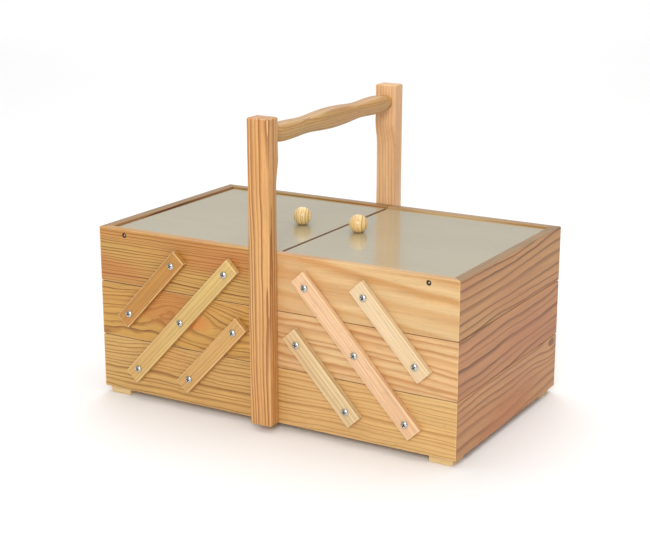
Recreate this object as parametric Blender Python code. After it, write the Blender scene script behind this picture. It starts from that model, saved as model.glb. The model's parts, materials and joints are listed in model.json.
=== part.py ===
"""Three-tier wooden sewing box with swing-out trays, two flat lids and a carrying handle.

Metres, +Z up, front at -Y, floor at z = 0, centre of the box over the origin.
Every moving piece has its origin on the axis it turns about.
"""
import math

import bmesh
import bpy
from mathutils import Matrix, Vector

# ---- overall box ---------------------------------------------------------------------
BOX_WIDTH = 0.400          # outside, across the two halves (X)
BOX_DEPTH = 0.234          # outside, front to back (Y)
TIER_HEIGHT = 0.0560       # each of the three tiers
TIER_GAP = 0.0006          # running gap between one tier and the next
FOOT_HEIGHT = 0.007
FOOT_SIDE = 0.024
FOOT_INSET_X = 0.005
FOOT_INSET_Y = 0.003

# ---- boards --------------------------------------------------------------------------
WALL = 0.009               # front, back and inner boards
END_WALL = 0.010           # boards at the two outer ends
FLOOR_THICK = 0.004        # plywood bottoms
GLUE_GAP = 0.0003          # between pieces that touch
BOARD_ROUND = 0.0008       # softened board edges
SPLIT_X = 0.0075           # where the left and right trays and lids meet
SPLIT_GAP = 0.0008

# ---- lids ----------------------------------------------------------------------------
LID_THICK = 0.008
LID_SUNK = 0.002           # lid top below the rim of the tray
LID_SIDE_GAP = 0.001       # lid to front and back boards
LID_END_GAP = 0.0018       # lid to the outer end board
LID_MEET_GAP = 0.0024      # between the two lids
LID_ROUND = 0.0010
PIN_FROM_END = 0.031       # hinge pin, measured in from the outer end of the box
PIN_DIAMETER = 0.0046
PIN_RECESS = 0.0008        # pin head below the board face
PIN_IN_LID = 0.008
PIN_CLEAR = 0.0003

# ---- knobs: ball on a flat, with a dowel into the lid ---------------------------------
KNOB_DIAMETER = 0.0188
KNOB_FOOT = 0.0090
KNOB_X = 0.0325            # from the middle of the box
KNOB_STEPS = 14            # from foot to crown
KNOB_TURNS = 28            # round the ball
KNOB_DOWEL = 0.0060
KNOB_DOWEL_LONG = 0.005

# ---- link arms -----------------------------------------------------------------------
ARM_WIDTH = 0.0170
ARM_THICK = 0.0070
ARM_END = 0.0130           # from a pivot to the cut end
ARM_ROUND = 0.0009
ARM_STANDOFF = 0.0005      # behind the arm
ARM_REACH = 0.0530         # sideways distance from one pivot to the next
PIVOT_HEIGHT = 0.0285      # above the underside of each tier
LONG_PIVOT_X = 0.1510      # lower pivot of the long arm on the bottom box
ARM_PITCH = 0.0622         # sideways distance between neighbouring arms

# ---- pivot screws --------------------------------------------------------------------
SCREW_HEAD = 0.0072
SCREW_HEAD_HIGH = 0.0026
HEAD_STEPS = 6             # from seat to crown
SCREW_SHANK = 0.0034
SCREW_CLEAR = 0.0003
SCREW_IN_WALL = 0.0066

# ---- posts and handle ----------------------------------------------------------------
POST_WIDTH = 0.0230
POST_THICK = 0.0145        # beside the box
POST_TOP = 0.3040
POST_BLOCK = 0.0032        # extra thickness inward at the top block
POST_BLOCK_LONG = 0.0360
POST_SWEEP = 0.0300        # length of the curve from block to shaft
POST_SWELL = 0.0008        # swelling just under the top block
SWELL_BELOW = 0.0060       # below the block
SWELL_LONG = 0.0080
POST_ROUND = 0.0013        # rounded edges along the free length
ROUND_ABOVE_BOX = 0.004    # where the rounding starts, above the box
ROUND_BELOW_BLOCK = 0.010  # and where it starts to fade, below the top block
ROUND_FADE = 0.014
POST_EASE = 0.0010         # edge of the parts left square
POST_FINE_STEP = 0.005     # between sections just above the box
POST_FINE_STEPS = 6
POST_STEPS = 22            # sections from there to the top
HANDLE_DROP = 0.0177       # middle of the bar below the top of the posts
HANDLE_WIDTH = 0.0185
HANDLE_HIGH = 0.0172
HANDLE_DIP = 0.0011        # each face, in the two finger dips
DIP_AT = 0.457             # of half the bar's length
DIP_LONG = 0.17
HANDLE_SWELL = 0.0011      # each face, in the middle
MIDDLE_LONG = 0.24
END_TAPER = 0.0020         # each face, where the bar meets a post
TAPER_FROM = 0.84
HANDLE_STEPS = 36
HANDLE_ROUND = 0.0055

SIDES = {"left": -1.0, "right": 1.0}
FACES = {"front": -1.0, "back": 1.0}
TIER_RISE = TIER_HEIGHT + TIER_GAP
BOX_TOP = FOOT_HEIGHT + 2 * TIER_RISE + TIER_HEIGHT
HALF_WIDTH = BOX_WIDTH / 2
HALF_DEPTH = BOX_DEPTH / 2
LID_TOP = BOX_TOP - LID_SUNK
PIN_Z = LID_TOP - LID_THICK / 2
PIN_X = HALF_WIDTH - PIN_FROM_END
CORNER_STEPS = 4
MITRE_CUT = GLUE_GAP * math.hypot(WALL, END_WALL) / (WALL + END_WALL)
MERGE = 0.000001
SHARP_ANGLE = math.radians(40)
ALONG = 0.99               # cosine past which an edge counts as running along an axis
X_AXIS, Y_AXIS = 0, 1
OVERCUT = 0.002            # how far a drill runs past the face it enters

MATERIALS = {
    "pine_front": ((0.72, 0.47, 0.24), 0.45, 0.0),
    "pine_end": ((0.60, 0.36, 0.21), 0.50, 0.0),
    "pine_inner": ((0.74, 0.55, 0.34), 0.60, 0.0),
    "plywood": ((0.70, 0.56, 0.38), 0.65, 0.0),
    "pine_arm": ((0.82, 0.64, 0.38), 0.45, 0.0),
    "pine_post": ((0.70, 0.42, 0.20), 0.40, 0.0),
    "laminate": ((0.53, 0.48, 0.37), 0.22, 0.0),
    "pine_knob": ((0.78, 0.55, 0.28), 0.35, 0.0),
    "steel_screw": ((0.62, 0.62, 0.61), 0.30, 1.0),
    "steel_pin": ((0.16, 0.12, 0.09), 0.45, 1.0),
}


def clear_scene():
    for thing in list(bpy.data.objects):
        bpy.data.objects.remove(thing, do_unlink=True)
    for mesh in list(bpy.data.meshes):
        bpy.data.meshes.remove(mesh)


def material(name):
    found = bpy.data.materials.get(name)
    if found:
        return found
    colour, rough, metal = MATERIALS[name]
    made = bpy.data.materials.new(name)
    made.use_nodes = True
    shader = made.node_tree.nodes["Principled BSDF"]
    shader.inputs["Base Color"].default_value = (*colour, 1.0)
    shader.inputs["Roughness"].default_value = rough
    shader.inputs["Metallic"].default_value = metal
    made.diffuse_color = (*colour, 1.0)
    return made


def add_object(name, bm, slot, origin=(0.0, 0.0, 0.0), smooth=False):
    """Turn a bmesh in world coordinates into an object whose origin is `origin`."""
    bmesh.ops.recalc_face_normals(bm, faces=bm.faces)
    for face in bm.faces:
        face.smooth = smooth
    mesh = bpy.data.meshes.new(name)
    bm.to_mesh(mesh)
    bm.free()
    if smooth:
        mesh.set_sharp_from_angle(angle=SHARP_ANGLE)
    mesh.transform(Matrix.Translation(-Vector(origin)))
    mesh.materials.append(material(slot))
    made = bpy.data.objects.new(name, mesh)
    made.location = origin
    bpy.context.scene.collection.objects.link(made)
    return made


def block(corner_a, corner_b, rounding=0.0, grain=None, cut=None):
    """A box between two opposite corners with rounded edges: all of them, or only those along the grain
    axis. `cut` may move its corners first.
    """
    low = [min(pair) for pair in zip(corner_a, corner_b)]
    high = [max(pair) for pair in zip(corner_a, corner_b)]
    bm = bmesh.new()
    bmesh.ops.create_cube(bm, size=1.0)
    for vert in bm.verts:
        vert.co = Vector(((low[i] + high[i]) / 2 + vert.co[i] * (high[i] - low[i])) for i in range(3))
        if cut:
            cut(vert.co)
    if rounding > 0:
        edges = [edge for edge in bm.edges if grain is None
                 or abs((edge.verts[0].co - edge.verts[1].co).normalized()[grain]) > ALONG]
        bmesh.ops.bevel(bm, geom=edges, offset=rounding, segments=2, profile=0.5, affect="EDGES")
    return bm


def rod(start, end, diameter, steps=20):
    """A plain round rod from one point to another."""
    start, end = Vector(start), Vector(end)
    bm = bmesh.new()
    bmesh.ops.create_cone(bm, cap_ends=True, segments=steps, radius1=diameter / 2,
                          radius2=diameter / 2, depth=(end - start).length)
    turn = Vector((0, 0, 1)).rotation_difference(end - start).to_matrix().to_4x4()
    bm.transform(Matrix.Translation((start + end) / 2) @ turn)
    return bm


def lathe(outline, centre, axis, steps=24):
    """Spin an outline of (radius, height) pairs about `axis` through `centre`."""
    bm = bmesh.new()
    verts = [bm.verts.new((radius, 0.0, height)) for radius, height in outline]
    edges = [bm.edges.new(pair) for pair in zip(verts, verts[1:])]
    bmesh.ops.spin(bm, geom=verts + edges, cent=(0, 0, 0), axis=(0, 0, 1), angle=2 * math.pi,
                   steps=steps, use_merge=True)
    bmesh.ops.remove_doubles(bm, verts=bm.verts, dist=MERGE)
    turn = Vector((0, 0, 1)).rotation_difference(Vector(axis)).to_matrix().to_4x4()
    bm.transform(Matrix.Translation(centre) @ turn)
    return bm


def rounded_section(half_a, half_b, radius):
    """Corner-rounded rectangle as (a, b) pairs, always the same number of points."""
    points = []
    for quarter, (sign_a, sign_b) in enumerate(((1, 1), (-1, 1), (-1, -1), (1, -1))):
        for step in range(CORNER_STEPS + 1):
            angle = math.radians(90 * quarter + 90 * step / CORNER_STEPS)
            points.append((sign_a * (half_a - radius) + radius * math.cos(angle),
                           sign_b * (half_b - radius) + radius * math.sin(angle)))
    return points


def loft(sections):
    """Extrude a closed section from ring to ring, moving each new ring to its own outline."""
    bm = bmesh.new()
    start = end = bm.faces.new([bm.verts.new(point) for point in sections[0]])
    for section in sections[1:]:
        grown = bmesh.ops.extrude_face_region(bm, geom=[end])["geom"]
        if end is not start:
            bm.faces.remove(end)
        end = next(item for item in grown if isinstance(item, bmesh.types.BMFace))
        for vert, point in zip(list(end.verts), section):
            vert.co = point
    return bm


def drill(target, holes):
    """Cut round holes; each is (start, end, diameter) in world coordinates."""
    for start, end, diameter in holes:
        cutter = add_object("cutter", rod(start, end, diameter), "steel_pin")
        cutter.hide_render = True
        cutter.display_type = "WIRE"
        cut = target.modifiers.new("hole", "BOOLEAN")
        cut.operation, cut.solver, cut.object = "DIFFERENCE", "EXACT", cutter
        bpy.context.view_layer.update()
        graph = bpy.context.evaluated_depsgraph_get()
        mesh = bpy.data.meshes.new_from_object(target.evaluated_get(graph), depsgraph=graph)
        target.modifiers.clear()
        old, target.data = target.data, mesh
        bpy.data.meshes.remove(old)
        bpy.data.objects.remove(cutter, do_unlink=True)
    target.data.name = target.name
    return target


def eased(value):
    """Smooth 0 to 1 step."""
    value = min(max(value, 0.0), 1.0)
    return value * value * (3 - 2 * value)


def tier_floor(tier):
    return FOOT_HEIGHT + tier * TIER_RISE


def pivot(side, tier, x):
    """Axis point of a pivot on the given tier (0 bottom box, 1 middle, 2 top)."""
    return Vector((side * x, 0.0, tier_floor(tier) + PIVOT_HEIGHT))


def arm_ends(side):
    """Pivots, bottom to top, of the three arms on one side."""
    middle, top = LONG_PIVOT_X - ARM_REACH, LONG_PIVOT_X - 2 * ARM_REACH
    return {
        "long_arm": [pivot(side, 0, LONG_PIVOT_X), pivot(side, 1, middle), pivot(side, 2, top)],
        "lower_arm": [pivot(side, 0, LONG_PIVOT_X - ARM_PITCH), pivot(side, 1, middle - ARM_PITCH)],
        "upper_arm": [pivot(side, 1, middle + ARM_PITCH), pivot(side, 2, top + ARM_PITCH)],
    }


def wall_pivots(sides, tier):
    """Every pivot that is screwed into the given tier."""
    height = tier_floor(tier) + PIVOT_HEIGHT
    return [point for side in sides for ends in arm_ends(side).values()
            for point in ends if abs(point.z - height) < MERGE]


def screw_holes(points, face):
    """Blind holes in a front or back board, open to the outside."""
    outside = face * (HALF_DEPTH + OVERCUT)
    inside = face * (HALF_DEPTH - SCREW_IN_WALL - SCREW_CLEAR)
    return [((p.x, outside, p.z), (p.x, inside, p.z), SCREW_SHANK + 2 * SCREW_CLEAR) for p in points]


def mitre_long_board(corner):
    """Draws the inside corner of a front or back board in at the box's corner."""
    if abs(corner.x) > HALF_WIDTH - END_WALL and abs(corner.y) < HALF_DEPTH - WALL / 2:
        corner.x = math.copysign(HALF_WIDTH - END_WALL - MITRE_CUT, corner.x)


def mitre_end_board(corner):
    """Draws the inside corner of an end board in at the box's corner."""
    if abs(corner.x) < HALF_WIDTH - END_WALL / 2:
        corner.y = math.copysign(HALF_DEPTH - WALL - MITRE_CUT, corner.y)


def long_boards(name, x_a, x_b, tier, pivots, origin, extra=()):
    """Front and back boards between two values of x, mitred at the box's corners and drilled for the arms."""
    z = tier_floor(tier)
    for face_name, face in FACES.items():
        y_a, y_b = face * HALF_DEPTH, face * (HALF_DEPTH - WALL)
        shape = block((x_a, y_a, z), (x_b, y_b, z + TIER_HEIGHT), BOARD_ROUND, X_AXIS, mitre_long_board)
        board = add_object(f"{name}_{face_name}", shape, "pine_front", origin)
        through = [((x, face * (HALF_DEPTH + OVERCUT), height),
                    (x, face * (HALF_DEPTH - WALL - OVERCUT), height), wide) for x, height, wide in extra]
        drill(board, screw_holes(pivots, face) + through)


def end_board(name, outer, direction, tier, origin):
    """Outer end board, mitred into the front and back boards."""
    y = HALF_DEPTH - MITRE_CUT
    z = tier_floor(tier)
    shape = block((outer, -y, z), (outer - direction * END_WALL, y, z + TIER_HEIGHT), BOARD_ROUND,
                  Y_AXIS, mitre_end_board)
    add_object(name, shape, "pine_end", origin)


def inner_board(name, inner, direction, tier, height, origin):
    """Board at the meeting line, let in between front and back."""
    y = HALF_DEPTH - WALL - GLUE_GAP
    z = tier_floor(tier)
    shape = block((inner, -y, z), (inner + direction * WALL, y, z + height), BOARD_ROUND, Y_AXIS)
    add_object(name, shape, "pine_inner", origin)


def floor_panel(name, x_a, x_b, tier, origin):
    y = HALF_DEPTH - WALL - GLUE_GAP
    z = tier_floor(tier)
    add_object(name, block((x_a, -y, z), (x_b, y, z + FLOOR_THICK)), "plywood", origin)


def build_base():
    middle = (0.0, 0.0, 0.0)
    reach = HALF_WIDTH - MITRE_CUT
    long_boards("base", -reach, reach, 0, wall_pivots(SIDES.values(), 0), middle)
    for side_name, side in SIDES.items():
        end_board(f"base_end_{side_name}", side * HALF_WIDTH, side, 0, middle)
    inside = HALF_WIDTH - END_WALL - GLUE_GAP
    floor_panel("base_floor", -inside, inside, 0, middle)
    for side_name, side in SIDES.items():
        for face_name, face in FACES.items():
            x = side * (HALF_WIDTH - FOOT_INSET_X)
            y = face * (HALF_DEPTH - FOOT_INSET_Y)
            far_x, far_y = x - side * FOOT_SIDE, y - face * FOOT_SIDE
            add_object(f"foot_{side_name}_{face_name}",
                       block((x, y, 0.0), (far_x, far_y, FOOT_HEIGHT - GLUE_GAP), BOARD_ROUND),
                       "pine_end", middle)


def build_tray(side_name, side, tier):
    label = "mid" if tier == 1 else "top"
    arms = arm_ends(side)
    origin = arms["long_arm"][tier]
    outer = side * HALF_WIDTH
    inner = SPLIT_X + side * SPLIT_GAP / 2
    pin_holes = [(side * PIN_X, PIN_Z, PIN_DIAMETER + 2 * PIN_CLEAR)] if tier == 2 else []
    long_boards(f"{label}_{side_name}", inner, outer - side * MITRE_CUT, tier, wall_pivots([side], tier),
                origin, pin_holes)
    end_board(f"{label}_{side_name}_end", outer, side, tier, origin)
    inner_high = TIER_HEIGHT
    if tier == 2:
        inner_high = LID_TOP - LID_THICK - GLUE_GAP - tier_floor(2)
    inner_board(f"{label}_{side_name}_inner", inner, side, tier, inner_high, origin)
    floor_panel(f"{label}_{side_name}_floor", inner + side * (WALL + GLUE_GAP),
                outer - side * (END_WALL + GLUE_GAP), tier, origin)


def build_lid(side_name, side):
    origin = (side * PIN_X, 0.0, PIN_Z)
    x_out = side * (HALF_WIDTH - END_WALL - LID_END_GAP)
    x_in = SPLIT_X + side * LID_MEET_GAP / 2
    y = HALF_DEPTH - WALL - LID_SIDE_GAP
    lid = add_object(f"lid_{side_name}",
                     block((x_out, -y, LID_TOP - LID_THICK), (x_in, y, LID_TOP), LID_ROUND),
                     "laminate", origin)
    knob_x = side * KNOB_X
    holes = [((knob_x, 0.0, LID_TOP - KNOB_DOWEL_LONG - GLUE_GAP),
              (knob_x, 0.0, LID_TOP + OVERCUT), KNOB_DOWEL + 2 * GLUE_GAP)]
    for face in FACES.values():
        holes.append(((side * PIN_X, face * (y + OVERCUT), PIN_Z),
                      (side * PIN_X, face * (y - PIN_IN_LID - PIN_CLEAR), PIN_Z),
                      PIN_DIAMETER + 2 * PIN_CLEAR))
    drill(lid, holes)

    ball = KNOB_DIAMETER / 2
    drop = math.sqrt(ball ** 2 - (KNOB_FOOT / 2) ** 2)
    start = math.asin(-drop / ball)
    outline = [(0.0, -KNOB_DOWEL_LONG - GLUE_GAP), (KNOB_DOWEL / 2, -KNOB_DOWEL_LONG - GLUE_GAP),
               (KNOB_DOWEL / 2, 0.0)]
    for step in range(KNOB_STEPS):
        angle = start + (math.pi / 2 - start) * step / KNOB_STEPS
        outline.append((ball * math.cos(angle), drop + ball * math.sin(angle)))
    outline.append((0.0, drop + ball))
    add_object(f"knob_{side_name}",
               lathe(outline, (knob_x, 0.0, LID_TOP + GLUE_GAP), (0, 0, 1), KNOB_TURNS),
               "pine_knob", origin, smooth=True)

    for face_name, face in FACES.items():
        head = face * (HALF_DEPTH - PIN_RECESS)
        tip = face * (y - PIN_IN_LID)
        add_object(f"lid_pin_{side_name}_{face_name}",
                   rod((side * PIN_X, head, PIN_Z), (side * PIN_X, tip, PIN_Z), PIN_DIAMETER),
                   "steel_pin", arm_ends(side)["long_arm"][2])


def arm_block(ends):
    """Flat bar through its pivots, lying in the plane y = 0 and centred on it."""
    start, stop = ends[0], ends[-1]
    along = stop - start
    half = along.length / 2 + ARM_END
    bm = block((-half, -ARM_THICK / 2, -ARM_WIDTH / 2), (half, ARM_THICK / 2, ARM_WIDTH / 2), ARM_ROUND)
    turn = Matrix.Rotation(-math.atan2(along.z, along.x), 4, "Y")
    bm.transform(Matrix.Translation((start + stop) / 2) @ turn)
    return bm


def build_arms(side_name, side):
    arms = arm_ends(side)
    for arm_name, ends in arms.items():
        for face_name, face in FACES.items():
            y = face * (HALF_DEPTH + ARM_STANDOFF + ARM_THICK / 2)
            bm = arm_block(ends)
            bm.transform(Matrix.Translation((0.0, y, 0.0)))
            arm = add_object(f"{arm_name}_{side_name}_{face_name}", bm, "pine_arm", ends[0])
            reach = ARM_THICK / 2 + OVERCUT
            drill(arm, [((p.x, y - reach, p.z), (p.x, y + reach, p.z), SCREW_SHANK + 2 * SCREW_CLEAR)
                        for p in ends])
    tip = -SCREW_IN_WALL - ARM_STANDOFF - ARM_THICK - GLUE_GAP
    outline = [(0.0, tip), (SCREW_SHANK / 2, tip), (SCREW_SHANK / 2, 0.0), (SCREW_HEAD / 2, 0.0)]
    for step in range(1, HEAD_STEPS):
        angle = math.pi / 2 * step / HEAD_STEPS
        outline.append((SCREW_HEAD / 2 * math.cos(angle), SCREW_HEAD_HIGH * math.sin(angle)))
    outline.append((0.0, SCREW_HEAD_HIGH))
    for screw_name, point, origin in (("base_screw", arms["long_arm"][0], (0.0, 0.0, 0.0)),
                                      ("mid_screw", arms["long_arm"][1], arms["long_arm"][1])):
        for face_name, face in FACES.items():
            seat = face * (HALF_DEPTH + ARM_STANDOFF + ARM_THICK + GLUE_GAP)
            add_object(f"{screw_name}_{side_name}_{face_name}",
                       lathe(outline, (point.x, seat, point.z), (0, face, 0)), "steel_screw", origin,
                       smooth=True)


def post_inward(z):
    """How far the inner face of a post stands inward of the flat beside the box."""
    block_low = POST_TOP - POST_BLOCK_LONG
    swell = POST_SWELL * math.exp(-((z - block_low + SWELL_BELOW) / SWELL_LONG) ** 2)
    return POST_BLOCK * eased((z - block_low + POST_SWEEP) / POST_SWEEP) + swell


def post_rounding(z):
    """Edge radius: square at the top block and beside the box, rounded in between."""
    round_from = BOX_TOP + ROUND_ABOVE_BOX
    round_to = POST_TOP - POST_BLOCK_LONG - ROUND_BELOW_BLOCK
    rise = eased((z - round_from) / ROUND_FADE)
    fall = 1 - eased((z - round_to) / ROUND_FADE)
    return POST_EASE + (POST_ROUND - POST_EASE) * rise * fall


def build_posts():
    fine = BOX_TOP + POST_FINE_STEP * POST_FINE_STEPS
    coarse = (POST_TOP - POST_EASE - fine) / POST_STEPS
    heights = [FOOT_HEIGHT, FOOT_HEIGHT + POST_EASE]
    heights += [BOX_TOP + POST_FINE_STEP * step for step in range(POST_FINE_STEPS)]
    heights += [fine + coarse * step for step in range(POST_STEPS + 1)]
    heights.append(POST_TOP)
    outer = HALF_DEPTH + GLUE_GAP + POST_THICK
    for face_name, face in FACES.items():
        sections = []
        for z in heights:
            inner = HALF_DEPTH + GLUE_GAP - post_inward(z)
            trim = POST_EASE if z in (heights[0], heights[-1]) else 0.0
            centre = face * (inner + outer) / 2
            ring = rounded_section(POST_WIDTH / 2 - trim, (outer - inner) / 2 - trim, post_rounding(z))
            sections.append([(a, centre + b, z) for a, b in ring])
        add_object(f"post_{face_name}", loft(sections), "pine_post", smooth=True)


def build_handle():
    """Carrying bar with two finger dips, a fuller middle and drawn-in ends."""
    half = HALF_DEPTH - post_inward(POST_TOP - HANDLE_DROP)
    centre_z = POST_TOP - HANDLE_DROP
    sections = []
    for step in range(HANDLE_STEPS + 1):
        y = half * (2 * step / HANDLE_STEPS - 1)
        at = abs(y) / half
        dip = HANDLE_DIP * math.exp(-((at - DIP_AT) / DIP_LONG) ** 2)
        swell = HANDLE_SWELL * math.exp(-(at / MIDDLE_LONG) ** 2)
        taper = END_TAPER * eased((at - TAPER_FROM) / (1 - TAPER_FROM))
        ring = rounded_section(HANDLE_WIDTH / 2 - (dip + taper) / 2,
                               HANDLE_HIGH / 2 - dip + swell - taper, HANDLE_ROUND)
        sections.append([(a, y, centre_z + b) for a, b in ring])
    add_object("handle_bar", loft(sections), "pine_post", smooth=True)


def main():
    clear_scene()
    build_base()
    for side_name, side in SIDES.items():
        build_tray(side_name, side, 1)
        build_tray(side_name, side, 2)
        build_lid(side_name, side)
        build_arms(side_name, side)
    build_posts()
    build_handle()


main()
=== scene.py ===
import json
import math

import bpy
from mathutils import Matrix, Vector

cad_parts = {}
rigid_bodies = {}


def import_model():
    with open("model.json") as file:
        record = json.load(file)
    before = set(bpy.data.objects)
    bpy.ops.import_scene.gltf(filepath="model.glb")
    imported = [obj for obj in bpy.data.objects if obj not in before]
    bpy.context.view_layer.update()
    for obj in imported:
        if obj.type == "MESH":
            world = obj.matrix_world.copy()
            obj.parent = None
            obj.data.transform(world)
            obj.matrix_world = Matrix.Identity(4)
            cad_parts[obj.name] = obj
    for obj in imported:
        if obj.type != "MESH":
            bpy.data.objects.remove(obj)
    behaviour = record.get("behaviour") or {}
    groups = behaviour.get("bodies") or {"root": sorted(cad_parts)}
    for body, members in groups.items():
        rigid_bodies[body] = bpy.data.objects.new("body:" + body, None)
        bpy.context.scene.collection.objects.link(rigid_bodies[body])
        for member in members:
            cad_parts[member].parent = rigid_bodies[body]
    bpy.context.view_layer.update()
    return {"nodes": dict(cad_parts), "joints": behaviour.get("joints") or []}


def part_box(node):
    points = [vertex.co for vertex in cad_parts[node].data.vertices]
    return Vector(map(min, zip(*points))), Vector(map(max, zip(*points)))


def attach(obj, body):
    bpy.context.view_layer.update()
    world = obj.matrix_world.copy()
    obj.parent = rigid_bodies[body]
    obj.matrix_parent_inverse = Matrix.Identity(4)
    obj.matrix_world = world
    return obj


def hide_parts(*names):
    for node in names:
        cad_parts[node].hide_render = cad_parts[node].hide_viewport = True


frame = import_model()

NODES = frame["nodes"]
MM = 0.001
SIDES = {"left": -1.0, "right": 1.0}
FACES = {"front": -1.0, "back": 1.0}

# ---- camera and light ------------------------------------------------------------------
CAMERA_PLACE = (0.7147, -1.2241, 0.5219)
CAMERA_LOOK = (-0.4885, 0.8298, -0.2698)
LENS = 80.47
SENSOR = 36.0
FLOOR_HALF = 12.0
# name: place, aimed at, width, power, colour
LAMPS = {
    "key_softbox": ((0.85, -2.05, 1.25), (0.0, 0.0, 0.12), 1.1, 33.0, (1.0, 0.98, 0.95)),
    "top_softbox": ((0.0, 0.3, 2.4), (0.0, 0.1, 0.0), 2.4, 28.0, (1.0, 1.0, 1.0)),
    "backdrop_softbox": ((-2.5, 4.2, 3.0), (-2.5, 4.2, 0.0), 5.0, 105.0, (1.0, 1.0, 1.0)),
}
SKY = (1.0, 1.0, 1.0, 1.0)
SKY_STRENGTH = 0.50

# ---- screws and pins -------------------------------------------------------------------
SEAT_GAP = 0.3 * MM
HEAD_WIDE = 7.2 * MM
HEAD_RIM = 0.5 * MM
# (drawn in by, raised by) from the rim to the flat on the crown
HEAD_STEPS = [(0.30 * MM, 0.42 * MM), (0.55 * MM, 0.48 * MM), (0.70 * MM, 0.36 * MM),
              (0.75 * MM, 0.20 * MM)]
SHANK_WIDE = 3.3 * MM
SHANK_LONG = 12.5 * MM
SHANK_POINT = 1.6 * MM
POINT_SHARE = 0.2          # how wide the point is, as a share of the shank
HEAD_SIDES = 28
RECESS_LONG = 4.0 * MM
RECESS_WIDE = 1.0 * MM
RECESS_DEEP = 0.9 * MM
SCREW_TURN = 0.7           # each screw was driven this much further round than the last
KNOB_SEGMENTS = 40
KNOB_RINGS = 24

# ---- shaping ---------------------------------------------------------------------------
SMOOTH = math.radians(35)
EDGE = 0.02 * MM           # slack when a face is picked by its place
FACING = 0.9               # a face looks up or down past this share of its normal
UPRIGHT = 0.1              # a face is a wall below this share, and level above the next
LEVEL = 0.99
MERGE = 0.01 * MM          # corners closer than this are one
PAIRING = 0.6              # how far from flat and square two triangles may be, in radians

# ---- arms ------------------------------------------------------------------------------
ARM_HALF_THICK = 3.5 * MM
ARM_HALF_WIDE = 8.5 * MM
ARM_PAST_PIVOT = 13.0 * MM

# ---- lids, in millimetres --------------------------------------------------------------
LAMINATE_EDGE = 0.7        # bare board round a lid
LAMINATE_FADE = 0.3
LAMINATE_LOW, LAMINATE_HIGH = 0.4, 0.6   # laminate starts between these shares of half a lid
UNDER_PALE = 0.7           # how much paler the underside is

# ---- edges of boards, in millimetres ---------------------------------------------------
ARRIS = 1.3                # width of the painted edge highlight
RIM_DULL, RIM_UNTOUCHED = 0.1, 0.9           # darkest down to the first, untouched from the second
RIM_AMOUNT = 0.8

# ---- grain, in millimetres along, through and across a board ---------------------------
SLOW_SWING = (190.0, 55.0, 55.0)
QUICK_SWING = (48.0, 15.0, 15.0)
FIBRES = (26.0, 0.55, 0.55)
STREAKS = (110.0, 3.5, 3.5)
RESIN = (7.0, 0.42, 0.42)
CLOUDS = (130.0, 34.0, 34.0)
SAPWOOD_DRIFT = (60.0, 40.0, 40.0)
RAGGED_EDGE = (9.0, 5.0, 5.0)


def paint(red, green, blue):
    """A colour given as it looks on a screen, 0 to 255, as the linear value a shader wants."""
    def linear(level):
        level /= 255
        return level / 12.92 if level <= 0.04045 else ((level + 0.055) / 1.055) ** 2.4
    return (linear(red), linear(green), linear(blue), 1.0)


# ---- shader building -------------------------------------------------------------------
def node(tree, kind, inputs=(), out=0, **settings):
    """Adds one shader node; an input is a value or another node's output. Gives its output."""
    made = tree.nodes.new("ShaderNode" + kind)
    for name, value in settings.items():
        setattr(made, name, value)
    for key, value in (inputs.items() if isinstance(inputs, dict) else enumerate(inputs)):
        if isinstance(value, bpy.types.NodeSocket):
            tree.links.new(value, made.inputs[key])
        elif value is not None:
            made.inputs[key].default_value = value
    return made.outputs[out]


def sums(tree, operation, *inputs, clamp=False):
    return node(tree, "Math", inputs, operation=operation, use_clamp=clamp)


def vectors(tree, operation, *inputs):
    return node(tree, "VectorMath", inputs, operation=operation)


def blend(tree, amount, under, over, kind="MIX"):
    """Colour mix."""
    return node(tree, "Mix", {0: amount, 6: under, 7: over}, out=2, data_type="RGBA", blend_type=kind)


def ramp(tree, value, low, high, start=0.0, stop=1.0, kind="SMOOTHSTEP"):
    return node(tree, "MapRange", (value, low, high, start, stop), interpolation_type=kind)


def stretched_noise(tree, place, lengths, detail=1.0, rough=0.5):
    """Noise, 0 to 1, drawn out to the given lengths in millimetres along each axis."""
    scaled = vectors(tree, "MULTIPLY", place, tuple(1.0 / length for length in lengths))
    return node(tree, "TexNoise", {"Vector": scaled, "Scale": 1.0, "Detail": detail, "Roughness": rough})


def own_place(tree):
    return node(tree, "TexCoord", out=3)


def in_millimetres(tree, place):
    return vectors(tree, "MULTIPLY", place, (1.0 / MM,) * 3)


def diagonal(tree, a, b):
    """How far off a point is that lies a along and b across."""
    return sums(tree, "SQRT", sums(tree, "ADD", sums(tree, "MULTIPLY", a, a),
                                   sums(tree, "MULTIPLY", b, b)))


def group(name, inputs, outputs):
    """An empty shader group with named sockets. Gives the tree, its input node and its output node."""
    tree = bpy.data.node_groups.new(name, "ShaderNodeTree")
    for label, kind, value in inputs:
        socket = tree.interface.new_socket(name=label, in_out="INPUT", socket_type="NodeSocket" + kind)
        if value is not None:
            socket.default_value = value
    for label, kind in outputs:
        tree.interface.new_socket(name=label, in_out="OUTPUT", socket_type="NodeSocket" + kind)
    return tree, tree.nodes.new("NodeGroupInput").outputs, tree.nodes.new("NodeGroupOutput").inputs


def use_group(tree, shared, values):
    """Places a shared group in a material with its own values. Gives its outputs."""
    placed = tree.nodes.new("ShaderNodeGroup")
    placed.node_tree = shared
    for label, value in values.items():
        if isinstance(value, bpy.types.NodeSocket):
            tree.links.new(value, placed.inputs[label])
        else:
            placed.inputs[label].default_value = value
    return placed.outputs


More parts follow.
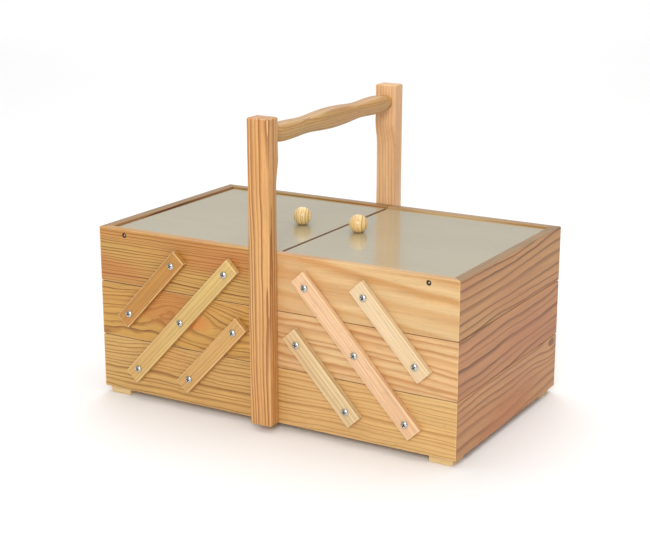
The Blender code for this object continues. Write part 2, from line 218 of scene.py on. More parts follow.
def growth_rings():
    """Pine sawn from a log: rings round a pith line that lies off the board, with fibres and resin."""
    tree, given, result = group(
        "growth_rings",
        [("Place", "Vector", None), ("Pith Depth", "Float", 40.0), ("Pith Side", "Float", -40.0),
         ("Lean", "Float", 0.0), ("Drift", "Float", 0.0), ("Ring", "Float", 4.0),
         ("Waver", "Float", 3.0), ("Ripple", "Float", 1.0), ("Seed", "Float", 0.0),
         ("Early", "Color", None), ("Late", "Color", None),
         ("Late Share", "Float", 0.5), ("Late End", "Float", 0.94),
         ("Contrast", "Float", 0.8), ("Blush", "Color", None), ("Blush Amount", "Float", 0.3),
         ("Gloss", "Float", 0.4)],
        [("Colour", "Color"), ("Roughness", "Float"), ("Height", "Float")])
    place = vectors(tree, "SCALE", given["Place"])
    place.node.inputs["Scale"].default_value = 1.0 / MM
    along, deep, across = node(tree, "SeparateXYZ", [place]).node.outputs
    shift = node(tree, "CombineXYZ", [sums(tree, "MULTIPLY", given["Seed"], 131.0),
                                      sums(tree, "MULTIPLY", given["Seed"], 57.0),
                                      sums(tree, "MULTIPLY", given["Seed"], 89.0)])
    own = vectors(tree, "ADD", place, shift)

    def swing(lengths, amount, detail):
        noise = stretched_noise(tree, own, lengths, detail)
        return sums(tree, "MULTIPLY", sums(tree, "SUBTRACT", noise, 0.5), amount)

    slow = swing(SLOW_SWING, sums(tree, "MULTIPLY", given["Waver"], 4.0), 1.0)
    quick = swing(QUICK_SWING, sums(tree, "MULTIPLY", given["Ripple"], 4.0), 2.0)
    off_deep = sums(tree, "SUBTRACT", deep, sums(tree, "MULTIPLY_ADD", given["Lean"], along,
                                                 given["Pith Depth"]))
    off_side = sums(tree, "SUBTRACT", across, sums(tree, "MULTIPLY_ADD", given["Drift"], along,
                                                   given["Pith Side"]))
    distance = diagonal(tree, off_deep, off_side)
    distance = sums(tree, "ADD", distance, sums(tree, "ADD", slow, quick))
    years = sums(tree, "DIVIDE", distance, given["Ring"])
    spell = node(tree, "TexNoise", {"W": sums(tree, "MULTIPLY_ADD", years, 0.33, given["Seed"]),
                                    "Scale": 1.0, "Detail": 1.0}, noise_dimensions="1D")
    years = sums(tree, "ADD", years, sums(tree, "MULTIPLY", sums(tree, "SUBTRACT", spell, 0.5), 2.0))
    turn = sums(tree, "FRACT", years)
    lean_year = node(tree, "TexWhiteNoise", {"W": sums(tree, "ADD", sums(tree, "FLOOR", years),
                                                       given["Seed"])}, noise_dimensions="1D")
    strength = sums(tree, "MULTIPLY_ADD", lean_year, 0.5, 0.5)
    darkening = ramp(tree, turn, sums(tree, "SUBTRACT", given["Late End"], given["Late Share"]),
                     given["Late End"])
    ending = ramp(tree, turn, given["Late End"], 1.0, 1.0, 0.0)
    late = sums(tree, "MULTIPLY", sums(tree, "MULTIPLY", darkening, ending), strength)
    late = sums(tree, "MULTIPLY", late, given["Contrast"], clamp=True)

    fibre = sums(tree, "SUBTRACT", stretched_noise(tree, own, FIBRES, 2.0), 0.5)
    streak = sums(tree, "SUBTRACT", stretched_noise(tree, own, STREAKS, 1.0), 0.5)
    resin = ramp(tree, stretched_noise(tree, own, RESIN, 0.0), 0.70, 0.80)
    cloud = ramp(tree, stretched_noise(tree, own, CLOUDS, 1.0), 0.36, 0.68)

    colour = blend(tree, late, given["Early"], given["Late"])
    colour = blend(tree, sums(tree, "MULTIPLY", cloud, given["Blush Amount"]), colour, given["Blush"])
    light = sums(tree, "ADD", sums(tree, "MULTIPLY_ADD", fibre, 0.42, 1.0),
                 sums(tree, "MULTIPLY", streak, 0.30))
    light = sums(tree, "SUBTRACT", light, sums(tree, "MULTIPLY", resin, 0.22))
    colour = blend(tree, 1.0, colour, node(tree, "CombineColor", [light, light, light]), "MULTIPLY")
    rough = sums(tree, "MULTIPLY_ADD", fibre, 0.30, sums(tree, "MULTIPLY_ADD", late, -0.06,
                                                         given["Gloss"]))
    height = sums(tree, "MULTIPLY_ADD", late, 0.5, sums(tree, "MULTIPLY_ADD", fibre, 0.8,
                                                        sums(tree, "MULTIPLY", resin, -0.9)))
    for label, value in (("Colour", colour), ("Roughness", rough), ("Height", height)):
        tree.links.new(value, result[label])
    return tree


def knot_flow():
    """Bends the place so that the rings flow round a knot or swirl, and gives a mask of its core."""
    tree, given, result = group(
        "knot_flow",
        [("Place", "Vector", None), ("Along", "Float", 0.0), ("Side", "Float", 0.0),
         ("Reach", "Float", 20.0), ("Core", "Float", 4.0), ("Pull", "Float", 0.9),
         ("Swell", "Float", 0.0)],
        [("Place", "Vector"), ("Core", "Float")])
    along, deep, across = node(tree, "SeparateXYZ", [given["Place"]]).node.outputs
    off_along = sums(tree, "SUBTRACT", along, sums(tree, "MULTIPLY", given["Along"], MM))
    side = sums(tree, "MULTIPLY", given["Side"], MM)
    off_side = sums(tree, "SUBTRACT", across, side)
    flat = sums(tree, "MULTIPLY", off_along, 0.5)
    far = sums(tree, "DIVIDE", diagonal(tree, flat, off_side), MM)
    near = sums(tree, "DIVIDE", far, given["Reach"])
    fading = sums(tree, "EXPONENT", sums(tree, "MULTIPLY", sums(tree, "MULTIPLY", near, near), -1.0))
    pull = sums(tree, "MULTIPLY", given["Pull"], fading)
    swell = sums(tree, "MULTIPLY", sums(tree, "MULTIPLY", given["Swell"], MM), fading)
    deep = sums(tree, "ADD", deep, swell)
    drawn = sums(tree, "ADD", side, sums(tree, "MULTIPLY", off_side, sums(tree, "SUBTRACT", 1.0, pull)))
    tree.links.new(node(tree, "CombineXYZ", [along, deep, drawn]), result["Place"])
    core = ramp(tree, sums(tree, "DIVIDE", far, given["Core"]), 0.55, 1.0, 1.0, 0.0)
    tree.links.new(core, result["Core"])
    return tree


def edge_highlight_mask():
    """Mask of the outer arrises of a straight piece, where a painted highlight goes: 1 on the edge, 0 a
    little way in.
    """
    tree, given, result = group(
        "edge_highlight_mask",
        [("Place", "Vector", None), ("Half Size", "Vector", None), ("Width", "Float", 1.5)],
        [("Mask", "Float")])
    inward = vectors(tree, "SUBTRACT", given["Half Size"], vectors(tree, "ABSOLUTE", given["Place"]))
    a, b, c = node(tree, "SeparateXYZ", [inward]).node.outputs
    # the middle one of the three distances is how far the nearest edge is
    middle = sums(tree, "MAXIMUM", sums(tree, "MINIMUM", a, b),
                  sums(tree, "MINIMUM", sums(tree, "MAXIMUM", a, b), c))
    ragged = stretched_noise(tree, in_millimetres(tree, given["Place"]), RAGGED_EDGE, 2.0)
    wide = sums(tree, "MULTIPLY", sums(tree, "MULTIPLY_ADD", ragged, 1.2, 0.4), given["Width"])
    mask = ramp(tree, sums(tree, "DIVIDE", sums(tree, "DIVIDE", middle, MM), wide), 0.15, 1.0, 1.0, 0.0)
    tree.links.new(mask, result["Mask"])
    return tree


RINGS, KNOT, EDGE_HIGHLIGHT = growth_rings(), knot_flow(), edge_highlight_mask()

ALONG_X = (0.0, 0.0, 0.0)
ALONG_Y = (0.0, 0.0, -math.pi / 2)
ALONG_Z = (0.0, math.pi / 2, 0.0)


def shader(name, **values):
    """A material with its Principled shader, whose plain values are set on it directly."""
    material = bpy.data.materials.new(name)
    material.use_nodes = True
    surface = material.node_tree.nodes["Principled BSDF"]
    for label, value in values.items():
        surface.inputs[label.replace("_", " ")].default_value = value
    return material, material.node_tree, surface


def pine(name, centre, turn, half, grain, knots=(), sapwood=None, rim=None, edge_highlight=0.35,
         edge_highlight_colour=(233, 199, 149), coat=0.12):
    """Varnished pine: grain turned the way the piece runs, with its own rings and knots, and a painted
    highlight along its edges.
    """
    material, tree, surface = shader(name, Coat_Weight=coat, Coat_Roughness=0.22,
                                     Specular_IOR_Level=0.3)
    spin = Matrix.Identity(3)
    for axis, angle in zip("XYZ", turn):
        spin = Matrix.Rotation(angle, 3, axis) @ spin
    place = node(tree, "Mapping", {"Vector": own_place(tree), "Location": -(spin @ Vector(centre)),
                                   "Rotation": turn})
    flowing = place
    cores = []
    for flow, tint, amount in knots:
        around = use_group(tree, KNOT, dict(flow, Place=flowing))
        flowing = around["Place"]
        cores.append((sums(tree, "MULTIPLY", around["Core"], amount), tint))
    grain = dict(grain, Place=flowing)
    if sapwood:
        drift = stretched_noise(tree, in_millimetres(tree, place), SAPWOOD_DRIFT, 2.0)
        along = sums(tree, "DIVIDE", node(tree, "SeparateXYZ", [place]), MM)
        pale = ramp(tree, sums(tree, "MULTIPLY_ADD", drift, 80.0, sums(tree, "SUBTRACT", along, 40.0)),
                    sapwood["from"], sapwood["to"])
        for label in ("Early", "Late"):
            grain[label] = blend(tree, pale, grain[label], paint(*sapwood[label]))
    wood = use_group(tree, RINGS, grain)
    colour = wood["Colour"]
    for core, tint in cores:
        colour = blend(tree, core, colour, paint(*tint))
    edge = use_group(tree, EDGE_HIGHLIGHT, {"Place": place, "Half Size": half, "Width": ARRIS})["Mask"]
    # painted highlight: the arrises are painted paler, standing for the light their rounded edges catch
    colour = blend(tree, sums(tree, "MULTIPLY", edge, edge_highlight), colour, paint(*edge_highlight_colour))
    # top rim painted darker and greyer, fading out within a millimetre below the top
    if rim:
        upward = node(tree, "SeparateXYZ", [place], out=2)
        below = sums(tree, "DIVIDE", sums(tree, "SUBTRACT", half.z, upward), MM)
        colour = blend(tree, ramp(tree, below, RIM_DULL, RIM_UNTOUCHED, RIM_AMOUNT, 0.0), colour,
                       paint(*rim))
    tree.links.new(colour, surface.inputs["Base Color"])
    tree.links.new(sums(tree, "MULTIPLY_ADD", edge, 0.08, wood["Roughness"]),
                   surface.inputs["Roughness"])
    bump = node(tree, "Bump", {"Strength": 0.35, "Distance": 0.15 * MM, "Height": wood["Height"]})
    tree.links.new(bump, surface.inputs["Normal"])
    return material


def dress(name, material):
    """Puts one material on a node or a piece."""
    thing = NODES.get(name) or bpy.data.objects[name]
    thing.data.materials.clear()
    thing.data.materials.append(material)


def middle_and_half(name):
    low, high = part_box(name)
    return (low + high) / 2, (high - low) / 2


# ---- what each board was sawn like -------------------------------------------------------
def cut(early, late, **sizes):
    """Ring values of one board; the rest stay as the plain cut has them."""
    grain = {"Pith Depth": 34.0, "Pith Side": -70.0, "Lean": 0.0, "Drift": 0.0, "Ring": 3.6,
             "Waver": 1.6, "Ripple": 0.5, "Late Share": 0.55, "Late End": 0.94, "Contrast": 0.85,
             "Blush Amount": 0.25, "Gloss": 0.42}
    blush = sizes.pop("Blush", (196, 130, 73))
    grain.update({label.replace("_", " "): value for label, value in sizes.items()})
    grain["Early"], grain["Late"], grain["Blush"] = paint(*early), paint(*late), paint(*blush)
    return grain


FRONT_CUTS = {
    "base": cut((199, 158, 94), (139, 90, 38), Pith_Side=-64.0, Ring=3.5, Waver=2.6, Ripple=1.1,
                Late_Share=0.45, Contrast=1.0, Blush_Amount=0.15),
    "mid_left": cut((195, 149, 76), (127, 74, 24), Pith_Side=-46.0, Pith_Depth=40.0, Ring=3.7,
                    Waver=3.8, Ripple=1.3, Contrast=1.0, Late_Share=0.45),
    "mid_right": cut((216, 181, 131), (177, 124, 72), Pith_Side=-92.0, Pith_Depth=34.0, Ring=6.6,
                     Waver=2.6, Ripple=1.0, Drift=-0.05, Late_Share=0.6, Late_End=0.86,
                     Contrast=0.95),
    "top_left": cut((193, 151, 81), (117, 64, 22), Pith_Side=-120.0, Pith_Depth=20.0, Ring=2.9,
                    Waver=1.3, Ripple=0.75, Late_Share=0.45, Contrast=1.0, Blush=(175, 93, 48),
                    Blush_Amount=0.5),
    "top_right": cut((210, 176, 127), (189, 138, 80), Pith_Side=-170.0, Pith_Depth=60.0, Ring=17.0,
                     Waver=4.0, Ripple=0.9, Drift=-0.10, Late_Share=0.6, Late_End=0.72,
                     Contrast=0.95),
}
# the pale sapwood half of the long bottom board
SAPWOOD = {"Early": (209, 171, 112), "Late": (175, 127, 68), "from": -20.0, "to": 60.0}
# darker, greyer top edge of the boards that the lids stand next to
RIM = (142, 116, 82)
END_CUTS = {
    "top": cut((192, 143, 95), (94, 54, 26), Pith_Side=-120.0, Pith_Depth=36.0, Ring=10.0, Waver=4.0,
               Ripple=0.9, Drift=0.02, Late_Share=0.42, Contrast=1.0, Gloss=0.55,
               Blush=(176, 116, 82), Blush_Amount=0.35),
    "mid": cut((188, 134, 92), (108, 62, 36), Pith_Side=-120.0, Pith_Depth=36.0, Ring=10.0, Waver=5.0,
               Ripple=1.0, Drift=0.03, Late_Share=0.45, Contrast=0.9, Gloss=0.55,
               Blush=(178, 114, 82), Blush_Amount=0.5),
    "base": cut((194, 143, 98), (130, 78, 46), Pith_Side=-110.0, Pith_Depth=36.0, Ring=8.0, Waver=4.0,
                Ripple=1.2, Drift=0.02, Late_Share=0.5, Contrast=0.8, Gloss=0.55,
                Blush=(186, 120, 82), Blush_Amount=0.6),
}
INNER_CUT = cut((212, 171, 117), (182, 130, 78), Ring=4.5, Waver=2.0, Gloss=0.55)
FLOOR_CUT = cut((207, 177, 132), (182, 143, 96), Pith_Side=-8.0, Pith_Depth=90.0, Ring=3.0,
                Lean=0.02, Waver=4.0, Contrast=0.5, Gloss=0.55)
FOOT_CUT = cut((220, 198, 147), (198, 164, 108), Ring=3.0, Contrast=0.5)
POST_CUT = cut((211, 161, 102), (132, 72, 28), Pith_Side=-9.0, Pith_Depth=-5.0, Ring=3.4,
               Waver=1.6, Ripple=0.5, Lean=0.012, Drift=0.02, Late_Share=0.6, Contrast=0.95)
BACK_POST_CUT = cut((231, 188, 142), (193, 128, 80), Pith_Side=-22.0, Pith_Depth=-16.0, Ring=3.6,
                    Waver=0.7, Ripple=0.2, Lean=0.02, Late_Share=0.5, Contrast=0.6)
BAR_CUT = cut((192, 153, 96), (143, 93, 46), Pith_Side=-20.0, Pith_Depth=12.0, Ring=2.4, Waver=0.9,
              Contrast=0.9, Late_Share=0.45)
KNOB_CUT = cut((255, 226, 158), (172, 108, 48), Pith_Side=26.0, Pith_Depth=-15.0, Ring=2.3,
               Waver=0.5, Ripple=0.3, Contrast=1.0, Gloss=0.22, Late_Share=0.5)
ARM_CUTS = {
    "long_left": cut((205, 174, 109), (174, 128, 67), Ring=3.4, Contrast=0.7),
    "lower_left": cut((201, 158, 97), (170, 119, 59), Ring=3.0, Contrast=0.7),
    "upper_left": cut((182, 131, 64), (152, 97, 39), Ring=3.2, Contrast=0.7),
    "long_right": cut((226, 188, 148), (200, 145, 104), Ring=4.2, Contrast=0.7),
    "lower_right": cut((210, 184, 140), (168, 131, 77), Ring=4.0, Contrast=0.6),
    "upper_right": cut((220, 195, 157), (197, 163, 116), Ring=2.4, Contrast=0.6),
}
# knots and swirls of a board: how the rings bend, the tint of the core and how much of it
KNOTS = {
    "mid_left_front": [
        ({"Along": -22.0, "Side": 11.0, "Reach": 14.0, "Core": 26.0, "Pull": 0.0, "Swell": 25.0},
         (176, 100, 40), 0.4),
        ({"Along": 14.0, "Side": 1.0, "Reach": 21.0, "Core": 10.0, "Pull": 0.95}, (206, 122, 58), 0.4)],
    "base_front": [
        ({"Along": -124.0, "Side": 15.0, "Reach": 17.0, "Core": 20.0, "Pull": 0.0, "Swell": 15.0},
         (196, 124, 62), 0.15)],
    "base_end_right": [
        ({"Along": 104.0, "Side": 23.0, "Reach": 13.0, "Core": 5.0, "Pull": 0.95}, (96, 58, 36), 0.7)],
}


def finish_boards():
    """Front, back, end and inner boards, floors and feet."""
    for number, name in enumerate(sorted(NODES)):
        tier, kind = name.rsplit("_", 1)[0], name.rsplit("_", 1)[1]
        centre, half = middle_and_half(name)
        seed = 0.37 * number
        if name.startswith("foot"):
            dress(name, pine(f"{name}_pine", centre, ALONG_X, half, dict(FOOT_CUT, Seed=seed)))
        elif kind in FACES and tier in FRONT_CUTS:
            dress(name, pine(f"{name}_pine", centre, ALONG_X, half,
                             dict(FRONT_CUTS[tier], Seed=seed), KNOTS.get(name, ()),
                             SAPWOOD if tier == "base" else None,
                             rim=RIM if name in ("top_left_back", "top_right_back") else None))
        elif kind == "end" or name.startswith("base_end"):
            size = Vector((half.y, half.x, half.z))
            dress(name, pine(f"{name}_pine", centre, ALONG_Y, size,
                             dict(END_CUTS[tier.split("_")[0]], Seed=seed), KNOTS.get(name, ()),
                             edge_highlight=0.15, coat=0.04, rim=RIM if tier.startswith("top") else None))
        elif kind == "inner":
            size = Vector((half.y, half.x, half.z))
            dress(name, pine(f"{name}_pine", centre, ALONG_Y, size, dict(INNER_CUT, Seed=seed),
                             coat=0.0))
        elif kind == "floor":
            dress(name, pine(f"{name}_ply", centre, ALONG_X, half, dict(FLOOR_CUT, Seed=seed),
                             edge_highlight=0.0, coat=0.0))


def finish_arms():
    """Grain along each arm; no two arms are sawn from the same place."""
    for side_name, side in SIDES.items():
        for face_name in FACES:
            for number, arm in enumerate(("long", "lower", "upper")):
                name = f"{arm}_arm_{side_name}_{face_name}"
                centre, _ = middle_and_half(name)
                low, high = ARM_LINES[side_name]
                rise = high - low
                slope = math.atan2(rise.z, rise.x)
                half = Vector((ARM_HALF[arm], ARM_HALF_THICK, ARM_HALF_WIDE))
                grain = dict(ARM_CUTS[f"{arm}_{side_name}"],
                             Seed=3.1 * number + side + (5.0 if face_name == "back" else 0.0))
                # the arms get a stronger, paler painted edge highlight
                dress(name, pine(f"{name}_pine", centre, (0.0, slope, 0.0), half, grain,
                                 edge_highlight=0.6, edge_highlight_colour=(239, 212, 162)))


def pivots(side_name):
    """Body: points of the pivots that its screws hold, from the joints of the frame."""
    at = {joint["name"]: Vector(joint["pos_m"]) for joint in frame["joints"]}
    swing, lower = at[f"{side_name}_swing"], at[f"{side_name}_lower_arm_pivot"]
    mid, top = at[f"{side_name}_mid_tray_pivot"], at[f"{side_name}_top_tray_pivot"]
    upper = at[f"{side_name}_upper_arm_pivot"]
    reach = mid - swing
    return {"base": [swing, lower],
            f"mid_tray_{side_name}": [mid, lower + reach, upper],
            f"top_tray_{side_name}": [top, upper + reach]}


ARM_LINES = {name: (pivots(name)["base"][0], pivots(name)[f"top_tray_{name}"][0]) for name in SIDES}
REACH = (ARM_LINES["right"][1] - ARM_LINES["right"][0]).length
ARM_HALF = {arm: REACH * share + ARM_PAST_PIVOT
            for arm, share in (("long", 1 / 2), ("lower", 1 / 4), ("upper", 1 / 4))}


# ---- metal, laminate ---------------------------------------------------------------------
def screw_steel():
    material, tree, surface = shader("screw_steel", Metallic=1.0, Coat_Weight=0.0)
    place = in_millimetres(tree, own_place(tree))
    cloud = stretched_noise(tree, place, (2.2, 2.2, 2.2), 2.0)
    fine = stretched_noise(tree, place, (0.35, 0.35, 0.35), 2.0)
    tree.links.new(blend(tree, cloud, paint(214, 214, 210), paint(176, 176, 174)),
                   surface.inputs["Base Color"])
    tree.links.new(sums(tree, "MULTIPLY_ADD", fine, 0.22, 0.14), surface.inputs["Roughness"])
    tree.links.new(node(tree, "Bump", {"Strength": 0.15, "Distance": 0.05 * MM, "Height": fine}),
                   surface.inputs["Normal"])
    return material


def recess_painted_shade():
    """Painted shade: dark, dull inside of the cross in a screw head, standing for the shade that falls
    in the recess.
    """
    material, tree, surface = shader("recess_painted_shade", Metallic=0.4)
    place = in_millimetres(tree, own_place(tree))
    fine = stretched_noise(tree, place, (0.5, 0.5, 0.5), 2.0)
    tree.links.new(blend(tree, fine, paint(38, 32, 26), paint(74, 66, 56)), surface.inputs["Base Color"])
    tree.links.new(sums(tree, "MULTIPLY_ADD", fine, 0.3, 0.5), surface.inputs["Roughness"])
    return material


def pin_steel(pin_x, pin_z):
    """Dark steel with a painted highlight in the middle of the head; its dark rim also stands for
    painted shade down in its hole.
    """
    material, tree, surface = shader("pin_steel", Metallic=0.9)
    x, y, z = node(tree, "SeparateXYZ", [own_place(tree)]).node.outputs
    off_x = sums(tree, "SUBTRACT", sums(tree, "ABSOLUTE", x), pin_x)
    off_z = sums(tree, "SUBTRACT", z, pin_z)
    far = sums(tree, "DIVIDE", diagonal(tree, off_x, off_z), MM)
    # painted highlight in the middle of the head, fading into the dark rim of painted shade
    painted_highlight = ramp(tree, far, 0.5, 1.3, 1.0, 0.0)
    place = in_millimetres(tree, own_place(tree))
    fine = stretched_noise(tree, place, (0.5, 0.5, 0.5), 2.0)
    tree.links.new(blend(tree, painted_highlight, paint(52, 42, 34), paint(190, 184, 172)),
                   surface.inputs["Base Color"])
    tree.links.new(sums(tree, "MULTIPLY_ADD", fine, 0.3, 0.3), surface.inputs["Roughness"])
    return material


def lid_laminate(name, centre, half, seed):
    """Glossy grey-beige laminate with a faint wood print, and brown board showing at its edges."""
    material, tree, surface = shader(name, Coat_Weight=0.6, Coat_Roughness=0.06,
                                     Specular_IOR_Level=0.6)
    place = in_millimetres(tree, own_place(tree))
    place = vectors(tree, "ADD", place, (seed * 113.0, seed * 71.0, 0.0))
    cloud = stretched_noise(tree, place, (150.0, 60.0, 60.0), 2.0)
    streak = stretched_noise(tree, place, (80.0, 2.2, 2.2), 2.0)
    fine = stretched_noise(tree, place, (1.6, 0.7, 0.7), 2.0)
    colour = blend(tree, cloud, paint(179, 169, 139), paint(168, 158, 129))
    colour = blend(tree, sums(tree, "MULTIPLY", ramp(tree, streak, 0.45, 0.75), 0.18), colour,
                   paint(153, 140, 107))
    from_middle = vectors(tree, "SUBTRACT", own_place(tree), tuple(centre))
    inward = vectors(tree, "SUBTRACT", tuple(half), vectors(tree, "ABSOLUTE", from_middle))
    x, y, _ = node(tree, "SeparateXYZ", [inward]).node.outputs
    _, _, height = node(tree, "SeparateXYZ", [from_middle]).node.outputs
    edge = sums(tree, "DIVIDE", sums(tree, "MINIMUM", x, y), MM)
    bare = ramp(tree, edge, LAMINATE_EDGE, LAMINATE_EDGE + LAMINATE_FADE, 1.0, 0.0)
    under = ramp(tree, sums(tree, "DIVIDE", height, half.z), LAMINATE_LOW, LAMINATE_HIGH, 1.0, 0.0)
    bare = sums(tree, "MAXIMUM", bare, under)
    board = blend(tree, streak, paint(150, 118, 78), paint(104, 76, 46))
    board = blend(tree, sums(tree, "MULTIPLY", under, UNDER_PALE), board, paint(204, 176, 132))
    colour = blend(tree, bare, colour, board)
    tree.links.new(colour, surface.inputs["Base Color"])
    tree.links.new(sums(tree, "MULTIPLY_ADD", bare, 0.4, sums(tree, "MULTIPLY_ADD", fine, 0.12, 0.16)),
                   surface.inputs["Roughness"])
    tree.links.new(node(tree, "Bump", {"Strength": 0.08, "Distance": 0.04 * MM, "Height": fine}),
                   surface.inputs["Normal"])
    return material


# ---- new pieces --------------------------------------------------------------------------
def start(name):
    """Names the primitive that was just added and opens it for editing, nothing selected."""
    thing = bpy.context.object
    thing.name = thing.data.name = name
    bpy.ops.object.transform_apply(location=True, rotation=True, scale=True)
    bpy.ops.object.mode_set(mode="EDIT")
    bpy.ops.mesh.select_mode(type="FACE")
    bpy.ops.mesh.select_all(action="DESELECT")
    return thing


def pick(thing, wanted):
    """Selects the faces that `wanted(centre, normal)` holds for."""
    bpy.ops.object.mode_set(mode="OBJECT")
    for face in thing.data.polygons:
        face.select = bool(wanted(face.center, face.normal))
    bpy.ops.object.mode_set(mode="EDIT")


def finish(thing):
    bpy.ops.object.mode_set(mode="OBJECT")
    bpy.ops.object.select_all(action="DESELECT")
    thing.select_set(True)
    bpy.context.view_layer.objects.active = thing
    bpy.ops.object.shade_smooth_by_angle(angle=SMOOTH)
    bpy.ops.object.select_all(action="DESELECT")
    return thing


def model_screw():
    """Round-headed screw standing on its seat at the origin, head up."""
    bpy.ops.object.select_all(action="DESELECT")
    bpy.ops.mesh.primitive_cylinder_add(vertices=HEAD_SIDES, radius=HEAD_WIDE / 2, depth=HEAD_RIM,
                                        location=(0, 0, HEAD_RIM / 2))
    screw = start("pivot_screw")
    pick(screw, lambda centre, normal: normal.z > FACING)
    for inward, up in HEAD_STEPS:
        bpy.ops.mesh.inset(thickness=inward, depth=0.0)
        bpy.ops.transform.translate(value=(0, 0, up))
    pick(screw, lambda centre, normal: normal.z < -FACING)
    bpy.ops.mesh.inset(thickness=(HEAD_WIDE - SHANK_WIDE) / 2, depth=0.0)
    bpy.ops.mesh.extrude_region_move(TRANSFORM_OT_translate={"value": (0, 0, -SHANK_LONG)})
    bpy.ops.mesh.extrude_region_move(TRANSFORM_OT_translate={"value": (0, 0, -SHANK_POINT)})
    bpy.ops.transform.resize(value=(POINT_SHARE, POINT_SHARE, 1.0))
    finish(screw)
    crown = HEAD_RIM + sum(up for _, up in HEAD_STEPS)
    for turned in (0.0, math.pi / 2):
        bpy.ops.mesh.primitive_cube_add(size=1.0, location=(0, 0, crown), rotation=(0, 0, turned))
        cutter = bpy.context.object
        cutter.scale = (RECESS_LONG, RECESS_WIDE, 2 * RECESS_DEEP)
        recess = screw.modifiers.new("recess", "BOOLEAN")
        recess.operation, recess.solver, recess.object = "DIFFERENCE", "EXACT", cutter
        bpy.context.view_layer.objects.active = screw
        bpy.ops.object.modifier_apply(modifier=recess.name)
        bpy.data.objects.remove(cutter)
    finish(screw)
    screw.data.materials.append(screw_steel())
    # second material: painted shade in the cross of the head
    screw.data.materials.append(recess_painted_shade())
    for face in screw.data.polygons:
        off = face.center
        inside = (math.hypot(off.x, off.y) < RECESS_LONG / 2 + EDGE
                  and off.z > crown - RECESS_DEEP - EDGE)
        # the crown itself is flat and level there; the walls and the bottom of the cross are not
        floor_of_cross = off.z < crown - EDGE and face.normal.z > LEVEL
        if inside and (abs(face.normal.z) < UPRIGHT or floor_of_cross):
            face.material_index = 1
    return screw


def place_screws():
    """A screw at every pivot, each on the body it is driven into."""
    pattern = model_screw()
    seat = -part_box("long_arm_right_front")[0].y + SEAT_GAP
    turn = 0.0
    for side_name in SIDES:
        for body, points in pivots(side_name).items():
            for face_name, face in FACES.items():
                for number, point in enumerate(points):
                    turn += SCREW_TURN
                    name = f"screw_{body}_{face_name}_{number}"
                    if body == "base":
                        name = f"screw_base_{side_name}_{face_name}_{number}"
                    screw = pattern.copy()
                    screw.data = pattern.data.copy()
                    screw.name = screw.data.name = name
                    outward = Matrix.Rotation(-face * math.pi / 2, 4, "X")
                    screw.data.transform(Matrix.Translation((point.x, face * seat, point.z))
                                         @ outward @ Matrix.Rotation(turn, 4, "Z"))
                    bpy.context.scene.collection.objects.link(screw)
                    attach(screw, body)
                    if number == 0 and body == "base":
                        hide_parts(f"base_screw_{side_name}_{face_name}")
                    elif number == 0 and body.startswith("mid"):
                        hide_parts(f"mid_screw_{side_name}_{face_name}")
    bpy.data.objects.remove(pattern)


def model_knob(side_name):
    """Turned ball with a flat foot."""
    low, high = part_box(f"knob_{side_name}")
    lid_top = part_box(f"lid_{side_name}")[1].z
    radius = (high.x - low.x) / 2
    centre = Vector(((low.x + high.x) / 2, 0.0, high.z - radius))
    bpy.ops.object.select_all(action="DESELECT")
    bpy.ops.mesh.primitive_uv_sphere_add(segments=KNOB_SEGMENTS, ring_count=KNOB_RINGS,
                                         radius=radius, location=centre)
    knob = start(f"turned_knob_{side_name}")
    bpy.ops.mesh.select_all(action="SELECT")
    bpy.ops.mesh.bisect(plane_co=(centre.x, 0.0, lid_top + SEAT_GAP), plane_no=(0, 0, 1),
                        clear_inner=True, use_fill=True)
    finish(knob)
    grain = dict(KNOB_CUT, Seed=7.0 if side_name == "left" else 11.0)
    dress(knob.name, pine(f"knob_{side_name}_pine", centre, ALONG_Z, Vector((radius,) * 3), grain,
                          edge_highlight=0.0, coat=0.8))
    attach(knob, f"lid_{side_name}")
    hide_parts(f"knob_{side_name}")


def smoothed(node_name, new_name, body):
    """A merged, smooth-shaded copy of a rounded CAD piece."""
    source = NODES[node_name]
    copy = source.copy()
    copy.data = source.data.copy()
    copy.name = copy.data.name = new_name
    copy.parent = None
    for key in list(copy.keys()):
        del copy[key]
    bpy.context.scene.collection.objects.link(copy)
    bpy.ops.object.select_all(action="DESELECT")
    copy.select_set(True)
    bpy.context.view_layer.objects.active = copy
    bpy.ops.mesh.customdata_custom_splitnormals_clear()
    bpy.ops.object.mode_set(mode="EDIT")
    bpy.ops.mesh.select_all(action="SELECT")
    bpy.ops.mesh.remove_doubles(threshold=MERGE)
    bpy.ops.mesh.tris_convert_to_quads(face_threshold=PAIRING, shape_threshold=PAIRING)
    finish(copy)
    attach(copy, body)
    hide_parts(node_name)
    return copy


def finish_handle():
    """The two posts, each with its own grain, and the bar between them."""
    for grain, face_name in ((POST_CUT, "front"), (BACK_POST_CUT, "back")):
        post = smoothed(f"post_{face_name}", f"upright_{face_name}", "base")
        centre, half = middle_and_half(f"post_{face_name}")
        size = Vector((half.z, half.y, half.x))
        dress(post.name, pine(f"post_{face_name}_pine", centre, ALONG_Z, size,
                              dict(grain, Seed=2.0), edge_highlight=0.3))
    bar = smoothed("handle_bar", "carrying_bar", "base")
    centre, half = middle_and_half("handle_bar")
    dress(bar.name, pine("bar_pine", centre, ALONG_Y, Vector((half.y, half.x, half.z)),
                         dict(BAR_CUT, Seed=9.0), edge_highlight=0.0))


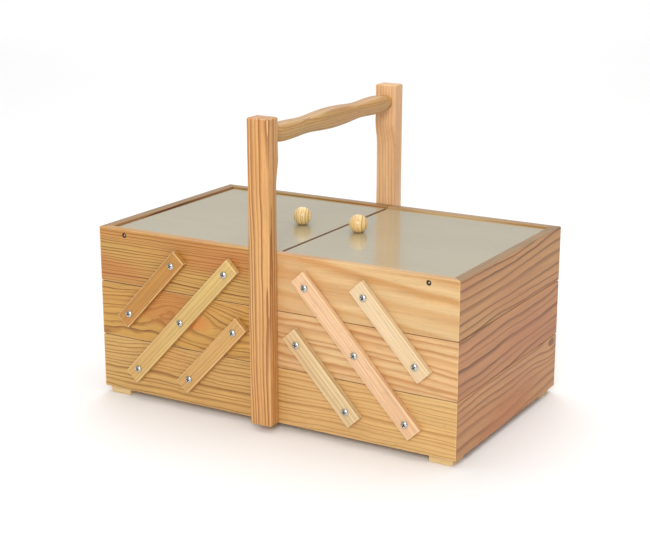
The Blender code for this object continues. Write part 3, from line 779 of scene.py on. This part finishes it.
def finish_lids_and_pins():
    for number, side_name in enumerate(SIDES):
        centre, half = middle_and_half(f"lid_{side_name}")
        dress(f"lid_{side_name}", lid_laminate(f"lid_{side_name}_laminate", centre, half, 1.0 + number))
    centre, _ = middle_and_half("lid_pin_right_front")
    steel = pin_steel(centre.x, centre.z)
    for side_name in SIDES:
        for face_name in FACES:
            dress(f"lid_pin_{side_name}_{face_name}", steel)


# ---- stage -------------------------------------------------------------------------------
def set_stage():
    material, tree, surface = shader("studio_floor", Specular_IOR_Level=0.2)
    soft = node(tree, "TexNoise", {"Vector": own_place(tree), "Scale": 1.5, "Detail": 2.0})
    tree.links.new(blend(tree, soft, paint(247, 247, 247), paint(250, 250, 250)),
                   surface.inputs["Base Color"])
    tree.links.new(ramp(tree, soft, 0.0, 1.0, 0.7, 0.8), surface.inputs["Roughness"])
    bpy.ops.object.select_all(action="DESELECT")
    bpy.ops.mesh.primitive_plane_add(size=2 * FLOOR_HALF)
    floor = bpy.context.object
    floor.name = floor.data.name = "studio_floor"
    floor.data.materials.append(material)

    for name, (place, target, wide, power, colour) in LAMPS.items():
        lamp = bpy.data.lights.new(name, "AREA")
        lamp.size, lamp.energy, lamp.color = wide, power, colour
        stand = bpy.data.objects.new(name, lamp)
        stand.location = place
        stand.rotation_euler = (Vector(target) - Vector(place)).to_track_quat("-Z", "Y").to_euler()
        bpy.context.scene.collection.objects.link(stand)

    world = bpy.data.worlds.new("studio")
    world.use_nodes = True
    world.node_tree.nodes["Background"].inputs["Color"].default_value = SKY
    world.node_tree.nodes["Background"].inputs["Strength"].default_value = SKY_STRENGTH
    bpy.context.scene.world = world
    bpy.context.scene.view_settings.view_transform = "Standard"

    lens = bpy.data.cameras.new("camera")
    lens.lens, lens.sensor_width = LENS, SENSOR
    camera = bpy.data.objects.new("camera", lens)
    camera.location = CAMERA_PLACE
    camera.rotation_euler = Vector(CAMERA_LOOK).to_track_quat("-Z", "Y").to_euler()
    bpy.context.scene.collection.objects.link(camera)
    bpy.context.scene.camera = camera


finish_boards()
finish_arms()
finish_handle()
finish_lids_and_pins()
place_screws()
for knob_side in SIDES:
    model_knob(knob_side)
set_stage()
